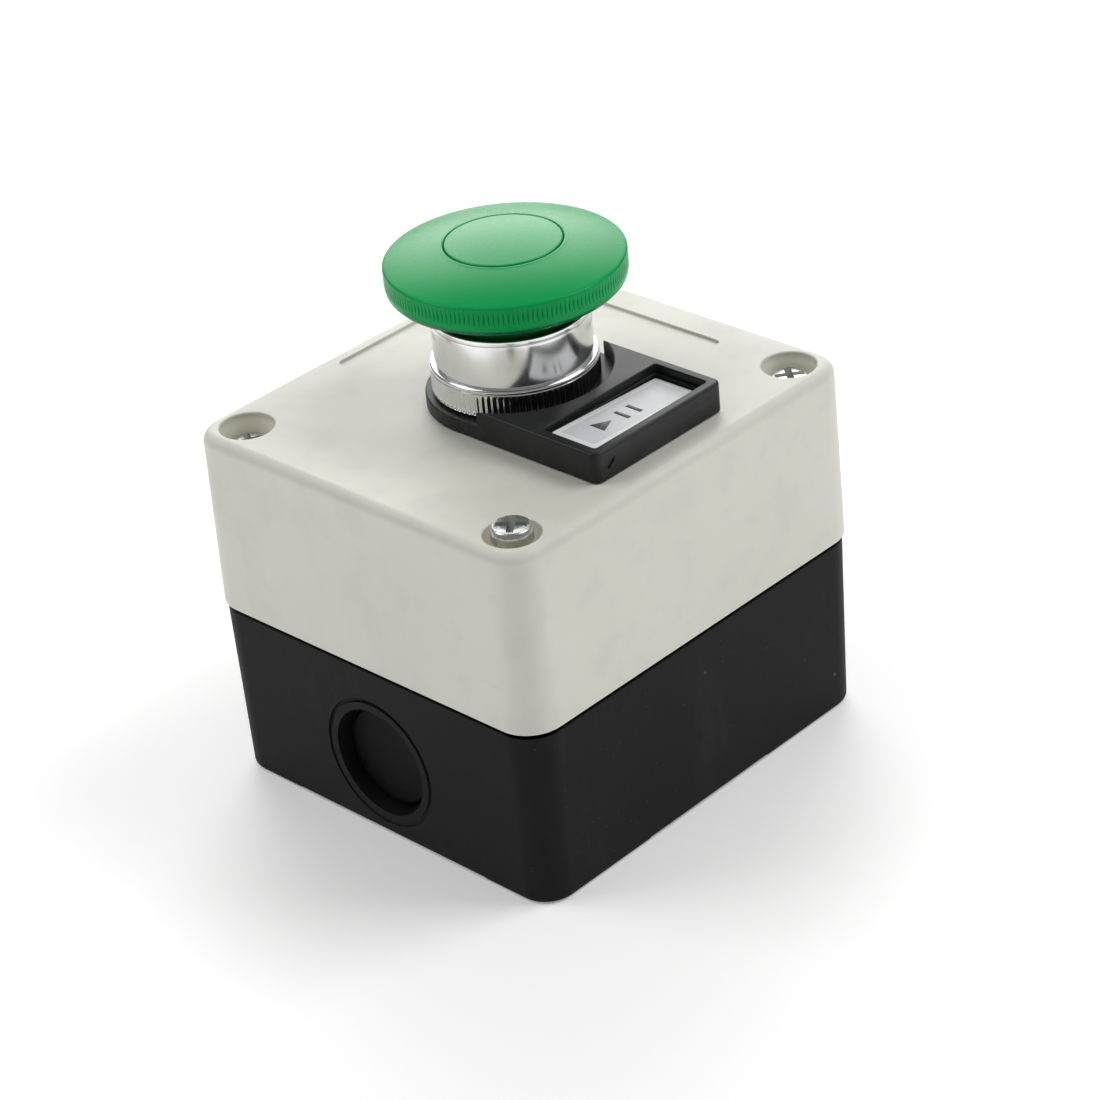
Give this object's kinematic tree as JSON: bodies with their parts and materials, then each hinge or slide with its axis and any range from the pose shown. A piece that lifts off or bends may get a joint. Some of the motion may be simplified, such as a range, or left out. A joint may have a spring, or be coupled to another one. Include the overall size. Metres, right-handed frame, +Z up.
{
  "type": "enclosed push-button station",
  "caption": "Enclosed industrial push-button station: mushroom push-button with legend holder on a two-part wall box, contact block inside.",
  "frame": {"origin": "middle of the base's underside, on the plane the box stands on", "axes": "+Z up along the push-button's axis, out through the mushroom cap; -Y towards the legend holder; +X and -X towards the cable knockouts"},
  "size_m": [0.082, 0.076, 0.0952],
  "materials": {
    "lid_grey": "fine-textured moulded ABS, light grey",
    "base_black": "fine-textured moulded ABS, black",
    "cap_green": "satin-gloss moulded plastic, green",
    "holder_black": "smooth moulded plastic, black",
    "legend_white": "printed legend plate, pale",
    "chrome": "bright plated, turned",
    "zinc": "zinc plated",
    "spring_steel": "drawn wire",
    "seal_rubber": "moulded rubber",
    "grey_nylon": "moulded nylon, dark grey",
    "brass": "stamped",
    "silver": "silver-alloy contact strip"
  },
  "bodies": {
    "station": {"base_shell": "base_black", "lid_shell": "lid_grey", "lid_seal": "seal_rubber", "lid_screw_front_left": "zinc", "lid_screw_front_right": "zinc", "lid_screw_back_left": "zinc", "lid_screw_back_right": "zinc", "return_spring": "spring_steel", "bezel": "chrome", "head_body": "holder_black", "stem_seal": "seal_rubber", "head_gasket": "seal_rubber", "fixing_nut": "grey_nylon", "legend_holder": "holder_black", "legend_plate": "legend_white", "contact_carrier": "grey_nylon", "carrier_screw_left": "zinc", "carrier_screw_right": "zinc", "contact_block_housing": "grey_nylon", "contact_block_cover": "grey_nylon", "contact_spring": "spring_steel", "fixed_contact_left": "brass", "fixed_contact_right": "brass", "clamp_washer_left": "zinc", "clamp_washer_right": "zinc", "terminal_screw_left": "zinc", "terminal_screw_right": "zinc"},
    "actuator": {"mushroom_cap": "cap_green", "cap_disc": "cap_green", "cap_screw": "zinc", "plunger_stem": "grey_nylon"},
    "switch_plunger": {"contact_plunger": "grey_nylon"},
    "switch_bridge": {"contact_bridge": "silver"}
  },
  "joints": [
    {"name": "press", "type": "slide", "parent": "station", "child": "actuator", "axis": [0, 0, -1], "range_m": [0, 0.0043], "stiffness_N_per_m": 900, "springref_m": -0.003, "deforming": ["return_spring"]},
    {"name": "plunger_slide", "type": "slide", "parent": "station", "child": "switch_plunger", "axis": [0, 0, -1], "range_m": [0, 0.0043], "stiffness_N_per_m": 300, "springref_m": -0.001, "deforming": ["contact_spring"]},
    {"name": "bridge_slide", "type": "slide", "parent": "station", "child": "switch_bridge", "axis": [0, 0, -1], "range_m": [0, 0.0026]}
  ],
  "couplings": [
    {"joint": "plunger_slide", "follows": "press", "ratio": 1},
    {"joint": "bridge_slide", "follows": "press", "ratio": 0.6}
  ]
}
